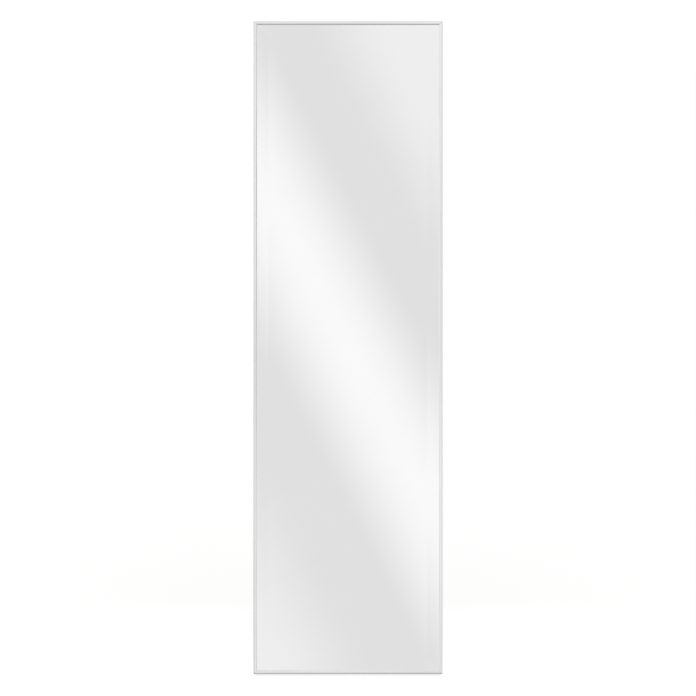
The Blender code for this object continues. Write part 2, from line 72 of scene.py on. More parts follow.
# --- Dimensions repeated from the CAD model ---------------------------------------------------
HEIGHT = 1.400
WIDTH = CAD_BOUNDS[1].x - CAD_BOUNDS[0].x
DEPTH = 0.025
LEAN = math.radians(10.0)
SPREAD = math.radians(19.0)
PIVOT_UP = 0.820
PIVOT_BACK = 0.016
WALL = 0.0015
OUTER_SLOPE_WIDTH = 0.0026
OUTER_SLOPE_DEPTH = 0.0010
LIP_CREST = 0.0054
LIP_WIDTH = 0.0078
INNER_SLOPE_DEPTH = 0.0016
LIP_DEPTH = 0.0027
CHAMBER_WIDTH = 0.014
CHAMBER_DEPTH = 0.0135
GLASS_BEVEL_WIDTH = 0.0300
GLASS_BEVEL_DROP = 0.0010
TUBE_RADIUS = 0.0080
TUBE_WALL = 0.0012
BEND_RADIUS = 0.060
HEAD_RADIUS = 0.0036
HEAD_HEIGHT = 0.0024
SHANK_RADIUS = 0.0020
PLATE = 0.0025
EAR_RADIUS = 0.0090
BOLT_RADIUS = 0.0030
BOLT_HEAD_RADIUS = 0.0053
BOLT_HEAD_HEIGHT = 0.0033
BOLT_PLAY = 0.0001
GAP = 0.0003

# --- Dimensions that only the looks need ------------------------------------------------------
MITRE_GAP = 0.0001  # taken off each mitred end, half of the CAD's
GLASS_INDEX = 1.52
FLAT_ANGLE = 0.002  # faces that meet at less than this, in radians, are joined

TO_PANEL = Matrix.Rotation(-LEAN, 4, "X")
PANEL = Matrix.Translation(PIVOT) @ TO_PANEL @ Matrix.Translation((0.0, -PIVOT_BACK, -PIVOT_UP))
STAND = Matrix.Translation(PIVOT) @ Matrix.Rotation(SPREAD - LEAN, 4, "X")
DRAWN_IN_XZ = Matrix.Rotation(math.pi / 2, 4, "X")
DRAWN_IN_YZ = Matrix.Rotation(math.pi / 2, 4, "Z") @ Matrix.Rotation(math.pi / 2, 4, "X")
SIDES = {"left": -1, "right": 1}


def span(node, axes):
    """A CAD node's lowest and highest corner in the given axes."""
    inverse = axes.inverted()
    points = [inverse @ v.co for v in NODES[node].data.vertices]
    low = Vector([min(p[i] for p in points) for i in range(3)])
    high = Vector([max(p[i] for p in points) for i in range(3)])
    return low, high


# --- Material nodes ---------------------------------------------------------------------------
EDGE_MASK_AGREEMENT = (0.97, 0.80)  # of the rounded and true normals, where the edge mask starts and is full


class Nodes:
    """A new material and short ways to add nodes to it."""

    def __init__(self, name):
        self.material = bpy.data.materials.new(name)
        self.material.use_nodes = True
        self.tree = self.material.node_tree
        self.shader = self.tree.nodes["Principled BSDF"]
        self.coordinates = self.tree.nodes.new("ShaderNodeTexCoord").outputs["Object"]

    def add(self, kind, inputs=None, **settings):
        node = self.tree.nodes.new(kind)
        for key, value in settings.items():
            setattr(node, key, value)
        for key, value in (inputs or {}).items():
            self.put(value, node.inputs[key])
        return node

    def put(self, value, socket):
        if isinstance(value, bpy.types.NodeSocket):
            self.tree.links.new(value, socket)
        else:
            socket.default_value = value

    def scaled(self, scale, rotation=(0.0, 0.0, 0.0)):
        inputs = {"Vector": self.coordinates, "Rotation": rotation}
        turned_axes = self.add("ShaderNodeMapping", inputs)
        stretch = {0: turned_axes.outputs["Vector"], 1: scale}
        return self.add("ShaderNodeVectorMath", stretch, operation="MULTIPLY").outputs["Vector"]

    def noise(self, scale, detail=3.0, roughness=0.5, vector=None, distortion=0.0):
        inputs = {
            "Vector": vector or self.coordinates,
            "Scale": scale,
            "Detail": detail,
            "Roughness": roughness,
            "Distortion": distortion,
        }
        return self.add("ShaderNodeTexNoise", inputs).outputs["Fac"]

    def spread(self, value, low, high, to_low, to_high, ease="LINEAR"):
        inputs = {"Value": value, "From Min": low, "From Max": high}
        inputs.update({"To Min": to_low, "To Max": to_high})
        return self.add("ShaderNodeMapRange", inputs, interpolation_type=ease).outputs["Result"]

    def math(self, operation, a, b=0.0):
        return self.add("ShaderNodeMath", {0: a, 1: b}, operation=operation).outputs[0]

    def blend(self, factor, a, b):
        node = self.add("ShaderNodeMix", data_type="RGBA")
        self.put(factor, node.inputs["Factor"])
        for key, colour in (("A", a), ("B", b)):
            value = colour if isinstance(colour, bpy.types.NodeSocket) else (*colour, 1.0)
            self.put(value, next(s for s in node.inputs if s.name == key and s.type == "RGBA"))
        return next(s for s in node.outputs if s.type == "RGBA")

    def bump(self, height, strength, distance, normal=None):
        inputs = {"Height": height, "Strength": strength, "Distance": distance}
        if normal is not None:
            inputs["Normal"] = normal
        return self.add("ShaderNodeBump", inputs).outputs["Normal"]

    def edges(self, radius, patchy):
        """Near 1 along outer edges, broken up by a noise, and 0 elsewhere."""
        rounded_normal = self.add("ShaderNodeBevel", {"Radius": radius}, samples=4).outputs["Normal"]
        true_normal = self.tree.nodes.new("ShaderNodeNewGeometry").outputs["Normal"]
        meeting = {0: rounded_normal, 1: true_normal}
        agreement = self.add("ShaderNodeVectorMath", meeting, operation="DOT_PRODUCT")
        # The edge mask stands for wear; on the aluminium it also paints a highlight along the edges.
        worn = self.spread(agreement.outputs["Value"], *EDGE_MASK_AGREEMENT, 0.0, 1.0)
        patches = self.spread(self.noise(patchy, 4.0, 0.65), 0.40, 0.60, 0.0, 1.0)
        return self.math("MULTIPLY", worn, patches)

    def set(self, **values):
        names = {"colour": "Base Color"}
        for key, value in values.items():
            plain = key == "colour" and not isinstance(value, bpy.types.NodeSocket)
            socket = self.shader.inputs[names.get(key, key.capitalize())]
            self.put((*value, 1.0) if plain else value, socket)
        return self


def brushed_aluminium(name, upright):
    """Satin anodised extrusion, with fine die lines up the stiles or along the rails."""
    n = Nodes(name)
    fine_lines, broad_lines = (3.0, 2600.0, 2600.0), (5.0, 260.0, 260.0)
    if upright:
        fine_lines, broad_lines = fine_lines[::-1], broad_lines[::-1]
    lines = n.noise(1.0, 5.0, 0.6, n.scaled(fine_lines, (LEAN, 0.0, 0.0)))
    broad = n.noise(1.0, 3.0, 0.5, n.scaled(broad_lines, (LEAN, 0.0, 0.0)))
    handling = n.noise(14.0, 4.0, 0.6)
    grain = n.noise(5200.0, 2.0)
    broad = n.spread(broad, 0.35, 0.65, 0.0, 1.0)
    tone = n.blend(broad, (0.870, 0.872, 0.874), (0.932, 0.934, 0.936))
    rough = n.spread(lines, 0.3, 0.7, 0.18, 0.27)
    rough = n.math("ADD", rough, n.spread(handling, 0.4, 0.7, 0.0, 0.06))
    # Paler edges: partly edge wear, partly a painted highlight along the edges and mitres.
    edges = n.edges(0.0004, 60.0)
    tone = n.blend(edges, tone, (0.95, 0.95, 0.95))
    fine = n.bump(lines, 0.25, 0.00004)
    n.set(colour=tone, roughness=rough, metallic=1.0, normal=n.bump(grain, 0.10, 0.00002, fine))
    return n.material


def silvered_glass():
    """Mirror silver behind clear glass: almost no roughness, and the faintest wipe marks."""
    n = Nodes("silvered_glass")
    wipes = n.noise(1.0, 4.0, 0.55, n.scaled((6.0, 6.0, 14.0), (0.0, 0.5, 0.0)), 0.6)
    dust = n.noise(900.0, 2.0)
    rough = n.spread(wipes, 0.35, 0.75, 0.006, 0.022)
    rough = n.math("ADD", rough, n.spread(dust, 0.62, 0.80, 0.0, 0.02))
    wiped = n.spread(wipes, 0.3, 0.7, 0.0, 1.0)
    tone = n.blend(wiped, (0.950, 0.952, 0.950), (0.958, 0.960, 0.958))
    n.set(colour=tone, roughness=rough, metallic=1.0)
    n.shader.inputs["Coat Weight"].default_value = 0.5
    n.shader.inputs["Coat Roughness"].default_value = 0.01
    return n.material


def glass_edge():
    """Ground edge of the pane."""
    n = Nodes("glass_edge")
    grind = n.noise(2400.0, 3.0)
    tone = n.blend(grind, (0.30, 0.42, 0.38), (0.46, 0.58, 0.53))
    n.set(colour=tone, roughness=n.spread(grind, 0.3, 0.7, 0.35, 0.6), metallic=0.0)
    n.put(n.bump(grind, 0.3, 0.00005), n.shader.inputs["Normal"])
    return n.material


def hardboard():
    """Brown pressed-fibre board: matted fibres, darker flecks and slow changes of tone."""
    n = Nodes("fibreboard")
    fibres = n.noise(1.0, 6.0, 0.65, n.scaled((420.0, 420.0, 1300.0), (0.0, 0.7, 0.0)), 1.2)
    crossing = n.noise(1.0, 6.0, 0.65, n.scaled((1300.0, 420.0, 420.0), (0.0, 0.5, 0.0)), 1.2)
    slow = n.noise(7.0, 4.0, 0.6)
    flecks = n.spread(n.noise(640.0, 3.0, 0.7), 0.62, 0.74, 0.0, 0.75)
    mat = n.math("ADD", n.math("MULTIPLY", fibres, 0.5), n.math("MULTIPLY", crossing, 0.5))
    matted = n.spread(mat, 0.35, 0.65, 0.0, 1.0)
    tone = n.blend(matted, (0.255, 0.150, 0.080), (0.400, 0.262, 0.155))
    tone = n.blend(n.spread(slow, 0.3, 0.7, 0.0, 0.35), tone, (0.300, 0.185, 0.105))
    tone = n.blend(flecks, tone, (0.130, 0.075, 0.042))
    n.set(colour=tone, roughness=n.spread(mat, 0.3, 0.7, 0.72, 0.88), metallic=0.0)
    n.put(n.bump(mat, 0.35, 0.00018), n.shader.inputs["Normal"])
    return n.material


def zinc_plate():
    """Bright zinc on steel: a cool grey with a faint straw and blue bloom."""
    n = Nodes("zinc_steel")
    bloom = n.noise(90.0, 4.0, 0.6, distortion=0.8)
    fine = n.noise(2600.0, 3.0, 0.6)
    edges = n.edges(0.0005, 420.0)
    tone = n.blend(n.spread(bloom, 0.35, 0.65, 0.0, 1.0), (0.60, 0.625, 0.66), (0.70, 0.69, 0.655))
    tone = n.blend(edges, tone, (0.82, 0.82, 0.81))
    rough = n.spread(bloom, 0.3, 0.7, 0.27, 0.37)
    rough = n.math("ADD", rough, n.spread(fine, 0.4, 0.7, 0.0, 0.09))
    rough = n.math("SUBTRACT", rough, n.math("MULTIPLY", edges, 0.10))
    n.set(colour=tone, roughness=rough, metallic=1.0, normal=n.bump(fine, 0.18, 0.00004))
    return n.material


def powder_coat():
    """Silver-grey powder coat with orange peel, rubbed thin next to the hinges."""
    n = Nodes("coated_steel")
    peel = n.noise(950.0, 2.0, 0.45)
    flake = n.noise(6500.0, 2.0, 0.5)
    slow = n.noise(16.0, 3.0)
    height = n.add("ShaderNodeSeparateXYZ", {"Vector": n.coordinates}).outputs["Z"]
    near_hinge = n.spread(height, -0.030, 0.004, 0.0, 1.0)
    scuffs = n.spread(n.noise(260.0, 5.0, 0.7), 0.60, 0.68, 0.0, 0.85)
    worn = n.math("MULTIPLY", near_hinge, scuffs)
    coat = n.blend(n.spread(flake, 0.35, 0.65, 0.0, 1.0), (0.47, 0.48, 0.49), (0.60, 0.61, 0.62))
    coat = n.blend(n.spread(slow, 0.3, 0.7, 0.0, 0.25), coat, (0.52, 0.525, 0.53))
    tone = n.blend(worn, coat, (0.70, 0.70, 0.71))
    metal = n.spread(worn, 0.0, 1.0, 0.55, 1.0)
    rough = n.spread(flake, 0.3, 0.7, 0.36, 0.48)
    rough = n.math("SUBTRACT", rough, n.math("MULTIPLY", worn, 0.12))
    n.set(colour=tone, roughness=rough, metallic=metal, normal=n.bump(peel, 0.22, 0.00016))
    return n.material


def moulded(name, dark, light, roughness, grain):
    """Rubber, plastic or foam with a mould grain, slightly uneven tone and paler rubbed edges."""
    n = Nodes(name)
    texture = n.noise(grain, 4.0, 0.6)
    slow = n.noise(60.0, 3.0)
    tone = n.blend(n.spread(slow, 0.3, 0.7, 0.0, 1.0), dark, light)
    rubbed = tuple(1.0 - (1.0 - channel) * 0.80 for channel in light)
    tone = n.blend(n.edges(0.0006, 300.0), tone, rubbed)
    rough = n.spread(texture, 0.3, 0.7, roughness[0], roughness[1])
    n.set(colour=tone, roughness=rough, metallic=0.0, normal=n.bump(texture, 0.3, 0.00010))
    return n.material


LOOKS = {
    "anodised_aluminium": brushed_aluminium("anodised_aluminium", False),
    "anodised_aluminium_upright": brushed_aluminium("anodised_aluminium_upright", True),
    "silvered_glass": silvered_glass(),
    "foam": moulded("foam", (0.80, 0.80, 0.78), (0.90, 0.90, 0.88), (0.85, 0.95), 1400.0),
    "fibreboard": hardboard(),
    "zinc_steel": zinc_plate(),
    "coated_steel": powder_coat(),
    "nylon": moulded("nylon", (0.78, 0.77, 0.72), (0.86, 0.85, 0.81), (0.40, 0.52), 1800.0),
    "rubber": moulded("rubber", (0.235, 0.235, 0.24), (0.30, 0.30, 0.305), (0.68, 0.86), 2200.0),
}
LOOKS["nylon"].node_tree.nodes["Principled BSDF"].inputs["Subsurface Weight"].default_value = 0.15
GLASS_EDGE = glass_edge()


# --- Shapes -----------------------------------------------------------------------------------
def arc(centre, radius, start, end, count):
    angles = [start + (end - start) * i / (count - 1) for i in range(count)]
    return [(centre[0] + radius * math.cos(a), centre[1] + radius * math.sin(a)) for a in angles]


def circle(radius, sides, centre=(0.0, 0.0)):
    return arc(centre, radius, 0.0, 2 * math.pi * (1 - 1 / sides), sides)


def rounded(corners, radius, steps=5):
    """A closed outline with each corner turned into an arc. The radius is one for all, or a list."""
    radii = radius if isinstance(radius, (list, tuple)) else [radius] * len(corners)
    outline = []
    for i, corner in enumerate(corners):
        here = Vector(corner)
        back = Vector(corners[i - 1]) - here
        ahead = Vector(corners[(i + 1) % len(corners)]) - here
        turn = back.angle(ahead)
        if radii[i] <= 0.0 or turn > math.radians(179):
            outline.append(tuple(here))
            continue
        along = min(radii[i] / math.tan(turn / 2), back.length * 0.49, ahead.length * 0.49)
        reach = along * math.tan(turn / 2)
        inwards = (back.normalized() + ahead.normalized()).normalized()
        middle = here + inwards * math.hypot(along, reach)
        first = here + back.normalized() * along - middle
        last = here + ahead.normalized() * along - middle
        swing = first.angle_signed(last)
        for k in range(steps + 1):
            spun = first.copy()
            spun.rotate(Matrix.Rotation(-swing * k / steps, 2))
            outline.append(tuple(middle + spun))
    return outline


def mesh_from(source, name):
    """The evaluated, welded mesh of a temporary object, which is removed."""
    bpy.context.scene.collection.objects.link(source)
    graph = bpy.context.evaluated_depsgraph_get()
    mesh = bpy.data.meshes.new_from_object(source.evaluated_get(graph))
    bpy.data.objects.remove(source)
    mesh.name = name
    work = bmesh.new()
    work.from_mesh(mesh)
    bmesh.ops.remove_doubles(work, verts=work.verts, dist=1e-7)
    bmesh.ops.dissolve_limit(work, angle_limit=FLAT_ANGLE, verts=work.verts, edges=work.edges)
    bmesh.ops.recalc_face_normals(work, faces=work.faces)
    work.to_mesh(mesh)
    work.free()
    return mesh


def extruded(name, outlines, thickness):
    """Closed outlines in the x-y plane, the later ones as holes, given a thickness about z = 0."""
    curve = bpy.data.curves.new(name, "CURVE")
    curve.dimensions = "2D"
    curve.fill_mode = "BOTH"
    curve.extrude = thickness / 2
    for outline in outlines:
        spline = curve.splines.new("POLY")
        spline.points.add(len(outline) - 1)
        for point, (x, y) in zip(spline.points, outline):
            point.co = (x, y, 0.0, 1.0)
        spline.use_cyclic_u = True
    return mesh_from(bpy.data.objects.new(name, curve), name)


def turned(name, profile, sides):
    """A solid of revolution about z.

    The profile's (radius, z) points start and end on the axis, or else they close into a ring.
    """
    work = bmesh.new()
    closed = profile[0][0] > 0.0
    rings = []
    for radius, z in profile:
        if radius == 0.0:
            rings.append([work.verts.new((0.0, 0.0, z))])
        else:
            ring = [(radius * math.cos(a), radius * math.sin(a), z) for a in angles_round(sides)]
            rings.append([work.verts.new(co) for co in ring])
    pairs = list(zip(rings, rings[1:]))
    if closed:
        pairs.append((rings[-1], rings[0]))
    for above, below in pairs:
        for i in range(sides):
            j = (i + 1) % sides
            corners = [above[i % len(above)], above[j % len(above)]]
            corners += [below[j % len(below)], below[i % len(below)]]
            work.faces.new(list(dict.fromkeys(corners)))
    bmesh.ops.recalc_face_normals(work, faces=work.faces)
    mesh = bpy.data.meshes.new(name)
    work.to_mesh(mesh)
    work.free()
    return mesh


def angles_round(sides):
    return [2 * math.pi * i / sides for i in range(sides)]


def cut(mesh, *tools, operation="DIFFERENCE"):
    """The mesh after Booleans with the tool meshes, each given as (mesh, matrix)."""
    target = bpy.data.objects.new(mesh.name, mesh)
    helpers = []
    for tool, matrix in tools:
        helper = bpy.data.objects.new("tool", tool)
        helper.matrix_world = matrix
        bpy.context.scene.collection.objects.link(helper)
        helpers.append(helper)
        modifier = target.modifiers.new("cut", "BOOLEAN")
        modifier.operation = operation
        modifier.object = helper
    bpy.context.view_layer.update()
    made = mesh_from(target, mesh.name)
    for helper in helpers:
        bpy.data.objects.remove(helper)
    return made


def piece(name, mesh, look, axes, local, body, nodes, edge=0.0, sharp=35.0, shared=False):
    """A finished piece in place: its material and soft edges, its body and the nodes it replaces.

    Its own axes stay square to the room, unless its mesh is shared with other pieces.
    """
    if not mesh.materials:
        mesh.materials.append(LOOKS[look])
    place = axes @ local
    if not shared:
        mesh.transform(place.to_3x3().to_4x4())
        place = Matrix.Translation(place.translation)
    obj = bpy.data.objects.new(name, mesh)
    bpy.context.scene.collection.objects.link(obj)
    obj.matrix_world = place
    if edge:
        bevel = obj.modifiers.new("soft_edges", "BEVEL")
        bevel.width = edge
        bevel.segments = 2
        bevel.limit_method = "ANGLE"
        bevel.angle_limit = math.radians(sharp)
        bevel.use_clamp_overlap = True
        bevel.face_strength_mode = "FSTR_ALL"
        evened = obj.modifiers.new("even_normals", "WEIGHTED_NORMAL")
        evened.keep_sharp = True
        evened.use_face_influence = True
    mesh.shade_smooth()
    mesh.set_sharp_from_angle(angle=math.radians(sharp))
    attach(obj, body)
    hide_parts(*nodes)
    return obj


def at(x, y, z):
    return Matrix.Translation((x, y, z))


# --- Frame ------------------------------------------------------------------------------------
def frame_member(node, length, local, finish):
    """One extrusion, drawn with x inwards from its outer face and mitred at 45 degrees."""
    section = rounded(
        [
            (0.0, -DEPTH + OUTER_SLOPE_DEPTH),
            (OUTER_SLOPE_WIDTH, -DEPTH),
            (LIP_CREST, -DEPTH),
            (LIP_WIDTH, -DEPTH + INNER_SLOPE_DEPTH),
            (LIP_WIDTH, -DEPTH + LIP_DEPTH),
            (WALL, -DEPTH + LIP_DEPTH),
            (WALL, -CHAMBER_DEPTH),
            (CHAMBER_WIDTH, -CHAMBER_DEPTH),
            (CHAMBER_WIDTH, 0.0),
            (0.0, 0.0),
        ],
        [0.0007, 0.0012, 0.0007, 0.0003, 0.0003, 0.0, 0.0, 0.0005, 0.0005, 0.0005],
    )
    chamber = [
        (WALL, WALL - CHAMBER_DEPTH),
        (CHAMBER_WIDTH - WALL, WALL - CHAMBER_DEPTH),
        (CHAMBER_WIDTH - WALL, -WALL),
        (WALL, -WALL),
    ]
    mesh = extruded(node, [section, chamber], length)
    for vertex in mesh.vertices:
        mitred = length / 2 - vertex.co.x - MITRE_GAP
        vertex.co.z = math.copysign(mitred, vertex.co.z)
    mesh.materials.append(LOOKS[finish])
    piece(f"{node}_extrusion", mesh, "anodised_aluminium", PANEL, local, "panel", [node])


def build_frame():
    half_turn = Matrix.Rotation(math.pi, 4, "Y")
    down = Matrix.Rotation(math.pi / 2, 4, "Y")
    up = Matrix.Rotation(-math.pi / 2, 4, "Y")
    upright = "anodised_aluminium_upright"
    frame_member("frame_stile_left", HEIGHT, at(-WIDTH / 2, 0.0, HEIGHT / 2), upright)
    frame_member("frame_stile_right", HEIGHT, at(WIDTH / 2, 0.0, HEIGHT / 2) @ half_turn, upright)
    frame_member("frame_rail_top", WIDTH, at(0.0, 0.0, HEIGHT) @ down, "anodised_aluminium")
    frame_member("frame_rail_bottom", WIDTH, up, "anodised_aluminium")


# --- Glass and back ---------------------------------------------------------------------------
def build_pane():
    """The bevelled pane. Its bevel meets the flat middle in a crisp line and its edge is ground."""
    low, high = span("mirror_glass", PANEL)
    middle = (low + high) / 2
    half_x = (high.x - low.x) / 2
    half_z = (high.z - low.z) / 2
    work = bmesh.new()
    rings = []
    front_seam, rear_seam = 0.0003, 0.0004
    corners = ((-1, -1), (1, -1), (1, 1), (-1, 1))

    def ring(inset, y):
        x, z = half_x - inset, half_z - inset
        return [work.verts.new((x * i, y, z * k)) for i, k in corners]

    rings.append(ring(0.0, high.y - rear_seam))
    rings.append(ring(0.0, low.y + GLASS_BEVEL_DROP + front_seam))
    rings.append(ring(front_seam, low.y + GLASS_BEVEL_DROP))
    rings.append(ring(GLASS_BEVEL_WIDTH, low.y))
    rings.insert(0, ring(rear_seam, high.y))
    work.faces.new(rings[0])
    work.faces.new(rings[-1])
    for ring_index, (outer, inner) in enumerate(zip(rings, rings[1:])):
        for i in range(4):
            face = work.faces.new((outer[i], outer[(i + 1) % 4], inner[(i + 1) % 4], inner[i]))
            face.material_index = 1 if ring_index < 3 else 0
    bmesh.ops.recalc_face_normals(work, faces=work.faces)
    mesh = bpy.data.meshes.new("mirror_pane")
    work.to_mesh(mesh)
    work.free()
    mesh.materials.append(LOOKS["silvered_glass"])
    mesh.materials.append(GLASS_EDGE)
    place = at(middle.x, 0.0, middle.z)
    look, replaced = "silvered_glass", ["mirror_glass"]
    pane = piece("mirror_pane", mesh, look, PANEL, place, "panel", replaced, sharp=0.5)
    bend_bevel_reflections(pane.data)


def bend_bevel_reflections(mesh):
    """The silver behind the bevel is flat and the glass over it is a wedge.

    The wedge bends what it reflects towards the middle of the pane, by its angle times
    (index - 1), so the bevel's normals lean that way.
    """
    flat = (TO_PANEL @ Vector((0.0, -1.0, 0.0))).normalized()
    normals = [None] * len(mesh.loops)
    for polygon in mesh.polygons:
        normal = polygon.normal.copy()
        on_bevel = polygon.material_index == 0 and 0.0001 < normal.angle(flat) < 0.2
        if on_bevel:
            normal = (flat + (flat - normal) * (GLASS_INDEX - 1.0)).normalized()
        for loop in polygon.loop_indices:
            normals[loop] = normal
    mesh.normals_split_custom_set(normals)


def build_board():
    low, high = span("backing_board", PANEL)
    middle = (low + high) / 2
    outline = rounded(
        [
            (low.x - middle.x, low.z - middle.z),
            (high.x - middle.x, low.z - middle.z),
            (high.x - middle.x, high.z - middle.z),
            (low.x - middle.x, high.z - middle.z),
        ],
        0.001,
    )
    mesh = extruded("backing_sheet", [outline], high.y - low.y)
    mesh.transform(DRAWN_IN_XZ)
    place = at(*middle)
    piece("backing_sheet", mesh, "fibreboard", PANEL, place, "panel", ["backing_board"], edge=0.0002)


# --- Screws -----------------------------------------------------------------------------------
def pan_head_screw():
    """A pan head with a cross recess, on z: the head sits above z = 0."""
    base = GAP
    dome = [
        (HEAD_RADIUS * math.sin(a), base + HEAD_HEIGHT * (0.42 + 0.58 * math.cos(a)))
        for a in [math.radians(d) for d in range(0, 91, 9)]
    ]
    dome[0] = (0.0, dome[0][1])
    length = 0.0055
    profile = [
        *dome,
        (HEAD_RADIUS, base + HEAD_HEIGHT * 0.12),
        (HEAD_RADIUS - 0.00025, base),
        (SHANK_RADIUS, base),
        (SHANK_RADIUS, -length),
        (0.0, -length - SHANK_RADIUS),
    ]
    mesh = turned("pan_head_screw", profile, 32)
    top = dome[0][1]
    recess_depth, recess_lift = 0.0016, 0.0004
    long_low, long_high = 0.0024, 0.0040
    wide_low, wide_high = 0.0006, 0.0010
    arms = []
    for angle in (0.0, math.pi / 2):
        blade = bmesh.new()
        bmesh.ops.create_cube(blade, size=1.0)
        for vertex in blade.verts:
            deep = vertex.co.z < 0
            vertex.co.x *= long_low if deep else long_high
            vertex.co.y *= wide_low if deep else wide_high
            vertex.co.z = top - recess_depth if deep else top + recess_lift
        arm = bpy.data.meshes.new("recess")
        blade.to_mesh(arm)
        blade.free()
        arms.append((arm, Matrix.Rotation(angle, 4, "Z")))
    made = cut(mesh, *arms)
    made.materials.append(LOOKS["zinc_steel"])
    return made


def build_screws():
    mesh = pan_head_screw()
    driven = Matrix.Rotation(-math.pi / 2, 4, "X")
    first_turn, turn_step = 11.0, 37.0
    names = sorted(n for n in NODES if "_screw_" in n)
    for index, node in enumerate(names):
        low, high = span(node, PANEL)
        middle = (low + high) / 2
        seat = high.y - HEAD_HEIGHT - GAP
        twist = Matrix.Rotation(math.radians(turn_step * index + first_turn), 4, "Z")
        local = at(middle.x, seat, middle.z) @ driven @ twist
        piece(f"{node}_head", mesh, "zinc_steel", PANEL, local, "panel", [node], shared=True)


# --- Wall hangers -----------------------------------------------------------------------------
def build_hangers():
    entry_radius, slot_radius, slot_length, keyhole_down = 0.0050, 0.0026, 0.0100, 0.033
    for side in SIDES:
        low, high = span(f"hanger_plate_{side}", PANEL)
        x = (low.x + high.x) / 2
        y = (low.y + high.y) / 2
        entry = HEIGHT - keyhole_down
        neck = math.asin(slot_radius / entry_radius)
        left, right = low.x - x, high.x - x
        plate = rounded([(left, low.z), (right, low.z), (right, high.z), (left, high.z)], 0.003)
        quarter = math.pi / 2
        keyhole = arc((0.0, entry), entry_radius, quarter + neck, 5 * quarter - neck, 40)
        keyhole += arc((0.0, entry + slot_length), slot_radius, 0.0, math.pi, 20)
        mesh = extruded(f"hanger_{side}", [plate, keyhole], high.y - low.y)
        mesh.transform(DRAWN_IN_XZ)
        name, replaced = f"hanger_{side}", [f"hanger_plate_{side}"]
        piece(name, mesh, "zinc_steel", PANEL, at(x, y, 0.0), "panel", replaced, edge=0.0003)


# --- Rubber feet ------------------------------------------------------------------------------
def build_feet():
    toe, heel, top, chamfer, lift = -0.0030, 0.0070, 0.0140, 0.0030, 0.0010
    bore_radius, bore_depth = 0.0042, 0.0040

    def floor_at(y):
        return (y * math.sin(LEAN) - lift) / math.cos(LEAN)

    outline = rounded(
        [
            (toe, floor_at(toe)),
            (heel, floor_at(heel)),
            (heel, top - chamfer),
            (heel - chamfer, top),
            (GAP, top),
            (GAP, -GAP),
            (toe, -GAP),
        ],
        [0.0002, 0.0008, 0.0012, 0.0012, 0.0003, 0.0, 0.0002],
    )
    for side in SIDES:
        low, high = span(f"panel_foot_{side}", PANEL)
        x = (low.x + high.x) / 2
        mesh = extruded(f"heel_pad_{side}", [outline], high.x - low.x)
        mesh.transform(DRAWN_IN_YZ)
        bore = turned("bore", [(0.0, 0.01), (bore_radius, 0.01), (bore_radius, 0.0), (0.0, 0.0)], 40)
        inward = at(0.0, heel - bore_depth, CHAMBER_WIDTH / 2) @ Matrix.Rotation(-math.pi / 2, 4, "X")
        mesh = cut(mesh, (bore, inward))
        name, replaced = f"heel_pad_{side}", [f"panel_foot_{side}"]
        piece(name, mesh, "rubber", PANEL, at(x, 0.0, 0.0), "panel", replaced, edge=0.0004)


# --- Hinge ------------------------------------------------------------------------------------
def build_brackets():
    half_height, tongue_low, tongue_high = 0.032, 0.010, 0.026
    inset, ear_inner, tongue_reach, flare = 0.0010, CHAMBER_WIDTH, 0.0281, 0.0015
    for side, to_x in SIDES.items():
        outer = to_x * (WIDTH / 2 - inset)
        inner = to_x * (WIDTH / 2 - ear_inner)
        tip = to_x * (WIDTH / 2 - tongue_reach)
        base = rounded(
            [
                (outer, -half_height),
                (inner, -half_height),
                (inner, tongue_low),
                (tip, tongue_low),
                (tip, tongue_high),
                (inner, tongue_high),
                (inner, half_height),
                (outer, half_height),
            ],
            [0.003, 0.003, 0.0012, 0.002, 0.002, 0.0012, 0.003, 0.003],
        )
        mesh = extruded(f"bracket_{side}", [base], PLATE)
        mesh.transform(DRAWN_IN_XZ)
        mesh.transform(at(0.0, GAP + PLATE / 2, 0.0))
        root = GAP + PLATE / 2
        ear_outline = [(root, -EAR_RADIUS - flare), (root + PLATE * 0.9, -EAR_RADIUS)]
        ear_outline += arc((PIVOT_BACK, 0.0), EAR_RADIUS, -math.pi / 2, math.pi / 2, 33)
        ear_outline += [(root + PLATE * 0.9, EAR_RADIUS), (root, EAR_RADIUS + flare)]
        hole = circle(BOLT_RADIUS + BOLT_PLAY, 40, (PIVOT_BACK, 0.0))
        ear = extruded("ear", [ear_outline, hole], PLATE)
        ear_x = to_x * (WIDTH / 2 - ear_inner + PLATE / 2)
        mesh = cut(mesh, (ear, at(ear_x, 0.0, 0.0) @ DRAWN_IN_YZ), operation="UNION")
        mesh.transform(at(-ear_x, 0.0, 0.0))
        name, replaced = f"bracket_{side}", [f"hinge_bracket_{side}"]
        place = at(ear_x, 0.0, PIVOT_UP)
        piece(name, mesh, "zinc_steel", PANEL, place, "panel", replaced, edge=0.0003)


def ring_profile(inner, outer, height, soft):
    """A ring's section, centred on z = 0, with softened rims."""
    half = height / 2
    return [
        (inner, half - soft),
        (inner + soft, half),
        (outer - soft, half),
        (outer, half - soft),
        (outer, soft - half),
        (outer - soft, -half),
        (inner + soft, -half),
        (inner, soft - half),
    ]


